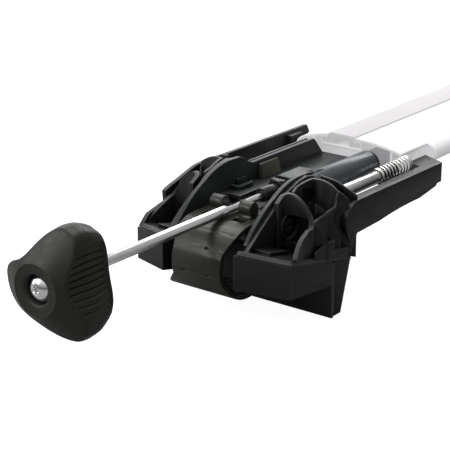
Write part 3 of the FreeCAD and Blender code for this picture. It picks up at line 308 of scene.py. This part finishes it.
FINISHES = {
    # moulded finishes: the lift of the lighter edges and rib tops is partly real rubbing and partly
    # painted highlight, and a hollow below 1 is painted shade in hollows
    "moulded_black": moulded("moulded_black", (0.0140, 0.0140, 0.0136), 0.40, rub_and_highlight=4.2, hollow=0.25),
    "carriage_grey": moulded("carriage_grey", (0.0190, 0.0215, 0.0225), 0.38, rub_and_highlight=3.4, hollow=0.6),
    "tube_grey": moulded("tube_grey", (0.050, 0.060, 0.068), 0.26, 0.9 * MM, 0.008 * MM, 1.5),
    "jaw_coat": coated_steel("jaw_coat", (0.0190, 0.0190, 0.0150), 0.36),
    "black_steel": coated_steel("black_steel", (0.0120, 0.0120, 0.0125), 0.26),
    "pad_rubber": rubber("pad_rubber", (0.008, 0.008, 0.008), 0.72),
    "bright_steel": steel("bright_steel", (0.93, 0.93, 0.93), 0.11),
    "plain_steel": steel("plain_steel", (0.50, 0.50, 0.51), 0.28, (4.0, 4.0, 4.0), 0.2),
    "spring_steel": steel("spring_steel", (0.85, 0.84, 0.82), 0.16, (3.0, 3.0, 3.0)),
    "knob_plastic": moulded("knob_plastic", (0.0200, 0.0200, 0.0170), 0.44, 0.6 * MM, 0.03 * MM, 1.6),
    "limiter_plastic": moulded("limiter_plastic", (0.05, 0.05, 0.055), 0.36),
    # the last number of bar_frost and slot_rubber is the strength of a painted glow
    "bar_frost": frosted("bar_frost", (0.60, 0.585, 0.605), 0.86, 0.34, 0.26),
    "slot_rubber": ribbed("slot_rubber", (0.34, 0.32, 0.34), 0.94, 2.4 * MM, 0.30),
}
SLOT_OF = {part["node"]: part["material_slot"] for part in frame["record"]["subparts"]}
OWN_FINISH = {
    "plunger_pin": steel("plunger_steel", (0.80, 0.80, 0.80), 0.15, tail_from=80 * MM),
    "guide_block": moulded("wedge_brown", (0.058, 0.057, 0.046), 0.5, 0.5 * MM, 0.02 * MM, 1.3),
}


def wear(piece, material):
    piece.data.materials.clear()
    piece.data.materials.append(material)


# ---------------------------------------------------------------- CAD pieces

# radii of the rounded corners, in millimetres
SOFT_EDGE = {"crossbar": 0.5, "knob_screw": 0.15, "clamp_bolt": 0.2, "key_rod": 0.25,
             "bolt_nut": 0.3, "jaw_rivets": 0.1, "limiter_springs": 0.1}
USUAL_EDGE = 0.4
SAME_POINT = 0.002 * MM
SAME_PLANE = math.radians(0.4)
SHARP = math.radians(32)


def round_edges(piece, radius):
    """Rounds the piece's corners, after its coplanar triangles are joined into single faces."""
    weld = piece.modifiers.new("weld", "WELD")
    weld.merge_threshold = SAME_POINT
    planar = piece.modifiers.new("planar", "DECIMATE")
    planar.decimate_type = "DISSOLVE"
    planar.angle_limit = SAME_PLANE
    bevel = piece.modifiers.new("bevel", "BEVEL")
    bevel.width = radius
    bevel.segments = 2
    bevel.limit_method = "ANGLE"
    bevel.angle_limit = SHARP
    bevel.harden_normals = True
    bevel.use_clamp_overlap = True


for name, piece in NODES.items():
    piece.data.shade_smooth()
    wear(piece, OWN_FINISH.get(name, FINISHES[SLOT_OF[name]]))
    round_edges(piece, SOFT_EDGE.get(name, USUAL_EDGE) * MM)


# ---------------------------------------------------------------- new meshes

CREASE = math.radians(40)


def mesh_piece(name, points, faces, slot, body):
    """A smooth-shaded mesh piece with a record finish, riding on a CAD body."""
    data = bpy.data.meshes.new(name)
    data.from_pydata(points, [], faces)
    data.update()
    data.shade_smooth()
    data.set_sharp_from_angle(angle=CREASE)
    piece = bpy.data.objects.new(name, data)
    bpy.context.scene.collection.objects.link(piece)
    wear(piece, FINISHES[slot])
    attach(piece, body)
    return piece


def ring_faces(rings, around, closed=False):
    """Quads between neighbouring rings of points, and from the last to the first if closed."""
    faces = []
    for ring in range(rings if closed else rings - 1):
        following = (ring + 1) % rings
        for step in range(around):
            beside = (step + 1) % around
            faces.append((ring * around + step, ring * around + beside,
                          following * around + beside, following * around + step))
    return faces


def ease(share):
    """Runs smoothly from 0 to 1 as share does, and stays there outside."""
    share = min(1.0, max(0.0, share))
    return share * share * (3.0 - 2.0 * share)


def along_stations(stations, place):
    """The value at place, on straight runs between stations of (place, value)."""
    for (start, low), (end, high) in zip(stations, stations[1:]):
        if place <= end:
            return low + (high - low) * (place - start) / (end - start)
    return stations[-1][1]


# the knob, in millimetres; places on its side are measured from the foremost lip
KNOB_LOW, KNOB_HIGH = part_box("knob_body")
KNOB_FRONT = KNOB_LOW[1] / MM
KNOB_BACK = KNOB_HIGH[1] / MM
KNOB_MEAN = 24.4
KNOB_LOBE = 6.5
KNOB_FLAT = 0.8
LOBE_END = 30.9
LOBE_ANGLE = math.radians(68.5)
LOBES = 3
# the shares by which the lobes end narrower at the back, and where that starts and ends
LOBE_TAPER = 0.13
TAPER_FROM = 13.0
TAPER_LENGTH = 22.0
# the coned front: its lip's radius, and how fast it spreads
LIP = 13.0
CONE_SPREAD = 1.43
CREASE_BLEND = 1.0
END_BLEND = 0.6
MOUTH = 7.3
# the space for the torque limiter
CAVITY = 12.0
CAVITY_DEPTH = 20.0
BACK_WALL = 2.0
BACK_HOLE = 3.3
# how the side's radius changes from the front to the back, as shares of the outline
KNOB_SIDE = [(0.0, 0.88), (6.0, 0.925), (12.0, 0.96), (17.0, 0.99), (21.0, 1.0), (25.0, 0.985),
             (28.5, 0.96), (31.5, 0.92), (33.5, 0.86), (34.8, 0.80), (35.5, 0.74)]
# the dished front, as radius and depth behind the foremost lip
KNOB_DISH = [(MOUTH, 2.0), (MOUTH + 0.15, 1.4), (MOUTH + 0.6, 0.85), (MOUTH + 1.3, 0.6), (10.2, 0.45),
             (11.4, 0.35), (12.1, 0.22), (12.6, 0.1), (12.85, 0.03)]
# the ribbed grips: half their spread, their borders, and their grooves
GRIP_HALF = math.radians(43)
GRIP_FRONT = 1.3
GRIP_BACK = 32.0
GRIP_SINK = 1.1
GRIP_EDGE = 0.7
GROOVE_PITCH = 3.7
GROOVE_SHARE = 0.22
GROOVE_DEPTH = 1.1
GROOVE_START = 0.9
GROOVE_EDGE = 0.8


def soft_min(first, second, blend):
    """The smaller of two lengths, with the crossing rounded over blend."""
    near = max(blend - abs(first - second), 0.0) / blend
    return min(first, second) - near * near * blend / 4


def lobe_turn(angle, centre):
    """The turn from the nearest of the places that repeat with the lobes, starting at centre."""
    sector = 2 * math.pi / LOBES
    return (angle - centre + sector / 2) % sector - sector / 2


def knob_outline(angle):
    """Radius of the knob's three-lobed outline, with blunt lobe ends."""
    turn = lobe_turn(angle, LOBE_ANGLE)
    wave = KNOB_MEAN + KNOB_LOBE * math.cos(LOBES * turn) + KNOB_FLAT * math.cos(2 * LOBES * turn)
    return soft_min(wave, LOBE_END / math.cos(turn), END_BLEND)


def grip_depth(angle, place, crease):
    """How far the ribbed grip is sunk at one place of the knob's side."""
    turn = lobe_turn(angle, LOBE_ANGLE + math.pi / LOBES)
    to_front = place - crease - GRIP_FRONT
    to_back = GRIP_BACK - place
    to_side = (GRIP_HALF - abs(turn)) * KNOB_MEAN
    inside = min(to_front, to_back, to_side)
    if inside <= 0.0:
        return 0.0
    across = knob_outline(angle) * math.sin(turn) / GROOVE_PITCH
    groove = ease(1.0 - abs(across - round(across)) / GROOVE_SHARE)
    start = ease((inside - GROOVE_START) / GROOVE_EDGE)
    return GRIP_SINK * ease(inside / GRIP_EDGE) + GROOVE_DEPTH * groove * start


def knob_radius(angle, place):
    """Radius of the knob's skin at one angle and place."""
    outline = knob_outline(angle)
    lobe = (1.0 + math.cos(LOBES * (angle - LOBE_ANGLE))) / 2
    taper = 1.0 - LOBE_TAPER * lobe * ease((place - TAPER_FROM) / TAPER_LENGTH)
    side = outline * along_stations(KNOB_SIDE, place) * taper
    cone = LIP + place * CONE_SPREAD
    first_guess = (outline - LIP) / CONE_SPREAD
    crease = (outline * along_stations(KNOB_SIDE, first_guess) - LIP) / CONE_SPREAD
    return soft_min(cone, side, CREASE_BLEND) - grip_depth(angle, place, crease)


def make_knob():
    """The three-lobed knob: dished front, ribbed grips between the lobes, hollow inside."""
    around = 720
    side_steps = 96
    depth = KNOB_BACK - KNOB_FRONT
    turns = [2 * math.pi * step / around for step in range(around)]
    rings = [[(radius, KNOB_FRONT + behind)] * around for radius, behind in KNOB_DISH]
    for step in range(side_steps + 1):
        place = depth * step / side_steps
        rings.append([(knob_radius(angle, place), KNOB_FRONT + place) for angle in turns])
    floor = KNOB_BACK - BACK_WALL
    roof = KNOB_BACK - CAVITY_DEPTH
    inner = [(BACK_HOLE, KNOB_BACK), (BACK_HOLE, floor), (CAVITY, floor), (CAVITY, roof), (MOUTH, roof)]
    rings += [[spot] * around for spot in inner]
    points = [(radius * math.cos(angle) * MM, along * MM, radius * math.sin(angle) * MM)
              for ring in rings for angle, (radius, along) in zip(turns, ring)]
    faces = ring_faces(len(rings), around, closed=True)
    knob = mesh_piece("knob_shell", points, faces, "knob_plastic", "knob")
    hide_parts("knob_body")


WIRE = 0.46 * MM
COILS = 11.5
# the share of the wire in each closed end, and how much closer its turns lie
CLOSED = 0.08
CLOSED_PITCH = 0.25


def coil_run(share):
    """How far along the spring its wire has come, as a share, with closed turns at both ends."""
    if share < CLOSED:
        return CLOSED_PITCH * share
    if share > 1 - CLOSED:
        return 1 - CLOSED_PITCH * (1 - share)
    open_share = (share - CLOSED) / (1 - 2 * CLOSED)
    return CLOSED_PITCH * CLOSED + open_share * (1 - 2 * CLOSED_PITCH * CLOSED)


def make_spring():
    """The plunger's coil spring, with closed ends."""
    low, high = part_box("plunger_spring")
    radius = (high[0] - low[0]) / 2 - WIRE
    centre = Vector(((low[0] + high[0]) / 2, 0.0, (low[2] + high[2]) / 2))
    start, end = low[1] + WIRE, high[1] - WIRE
    per_coil, around = 40, 12
    steps = int(COILS * per_coil)
    points = []
    for step in range(steps + 1):
        share = step / steps
        angle = 2 * math.pi * COILS * share
        outward = Vector((math.cos(angle), 0.0, math.sin(angle)))
        middle = centre + radius * outward + Vector((0, start + (end - start) * coil_run(share), 0))
        for turn in range(around):
            lean = 2 * math.pi * turn / around
            points.append(middle + WIRE * (outward * math.cos(lean) + Vector((0, math.sin(lean), 0))))
    faces = ring_faces(steps + 1, around)
    faces.append(tuple(range(around)))
    faces.append(tuple(reversed(range(steps * around, (steps + 1) * around))))
    spring = mesh_piece("plunger_coil", points, faces, "spring_steel", "foot")
    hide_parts("plunger_spring")
    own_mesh(spring)


make_knob()
make_spring()


# ---------------------------------------------------------------- stage

AZIMUTH = math.radians(37.5)
ELEVATION = math.radians(19.4)
CAMERA_AT = Vector((0.4664, -0.6161, 0.2619))
LENS = 123.2
SENSOR = 36
FLOOR_HALF = 6.0
# the floor's tint for light that bounces off it, and its glow as the camera sees it
FLOOR_TINTS = ((0.24, 0.24, 0.24), (0.28, 0.28, 0.28))
FLOOR_GLOW = 0.95
HORIZON = (0.06, 0.06, 0.06, 1.0)
ZENITH = (1.0, 1.0, 1.0, 1.0)
ZENITH_FROM = 0.85
SKY_STRENGTH = 0.8
# area lights as name, place, aim, power, width and height
LIGHTS = [
    ("top_box", (-0.45, 0.25, 1.0), (0, 0, 0), 9.0, 0.8, 0.8),
    ("front_box", (-0.55, -1.0, 0.75), (0, -0.12, 0), 7.0, 0.5, 0.4),
    ("left_box", (-1.0, -0.6, 0.35), (0, 0, 0), 2.4, 0.35, 0.5),
    ("back_box", (-0.75, 1.0, 0.48), (0, 0, 0), 6.0, 1.3, 0.5),
]


def put(name, data):
    """A new object in the scene that shows data."""
    made = bpy.data.objects.new(name, data)
    bpy.context.scene.collection.objects.link(made)
    return made


def make_camera():
    data = bpy.data.cameras.new("camera")
    data.lens = LENS
    data.sensor_width = SENSOR
    camera = put("camera", data)
    camera.location = CAMERA_AT
    forward = Vector((-math.sin(AZIMUTH) * math.cos(ELEVATION),
                      math.cos(AZIMUTH) * math.cos(ELEVATION), -math.sin(ELEVATION)))
    camera.rotation_euler = forward.to_track_quat("-Z", "Y").to_euler()
    bpy.context.scene.camera = camera


def make_floor():
    """A plain pale floor that the foot's lowest edge stands on."""
    half, height = FLOOR_HALF, CAD_BOX[0][2]
    data = bpy.data.meshes.new("floor")
    corners = [(-half, -half, height), (half, -half, height), (half, half, height), (-half, half, height)]
    data.from_pydata(corners, [], [(0, 1, 2, 3)])
    floor = put("floor", data)
    finish = Finish("floor_paper")
    finish.set("Base Color", finish.mix(finish.noise(0.4, 2.0), *FLOOR_TINTS))
    finish.set("Roughness", 0.9)
    finish.set("Specular IOR Level", 0.1)
    seen = finish.node("ShaderNodeLightPath").outputs["Is Camera Ray"]
    finish.set("Emission Color", WHITE)
    finish.set("Emission Strength", finish.maths("MULTIPLY", seen, FLOOR_GLOW))
    wear(floor, finish.material)


def make_sky():
    """A studio dome: bright overhead, dim at the horizon and dark below."""
    world = bpy.data.worlds.new("studio")
    bpy.context.scene.world = world
    world.use_nodes = True
    tree = world.node_tree
    place = tree.nodes.new("ShaderNodeTexCoord")
    split = tree.nodes.new("ShaderNodeSeparateXYZ")
    ramp = tree.nodes.new("ShaderNodeValToRGB")
    tree.links.new(place.outputs["Generated"], split.inputs[0])
    tree.links.new(split.outputs["Z"], ramp.inputs[0])
    low, high = ramp.color_ramp.elements
    low.position, low.color = 0.0, HORIZON
    high.position, high.color = ZENITH_FROM, ZENITH
    tree.links.new(ramp.outputs[0], tree.nodes["Background"].inputs[0])
    tree.nodes["Background"].inputs[1].default_value = SKY_STRENGTH


def make_light(name, place, aim, power, width, height):
    data = bpy.data.lights.new(name, "AREA")
    data.energy = power
    data.shape = "RECTANGLE"
    data.size = width
    data.size_y = height
    light = put(name, data)
    light.location = place
    light.rotation_euler = (Vector(aim) - Vector(place)).to_track_quat("-Z", "Y").to_euler()


make_camera()
make_floor()
make_sky()
for light in LIGHTS:
    make_light(*light)
bpy.context.scene.view_settings.view_transform = "Standard"
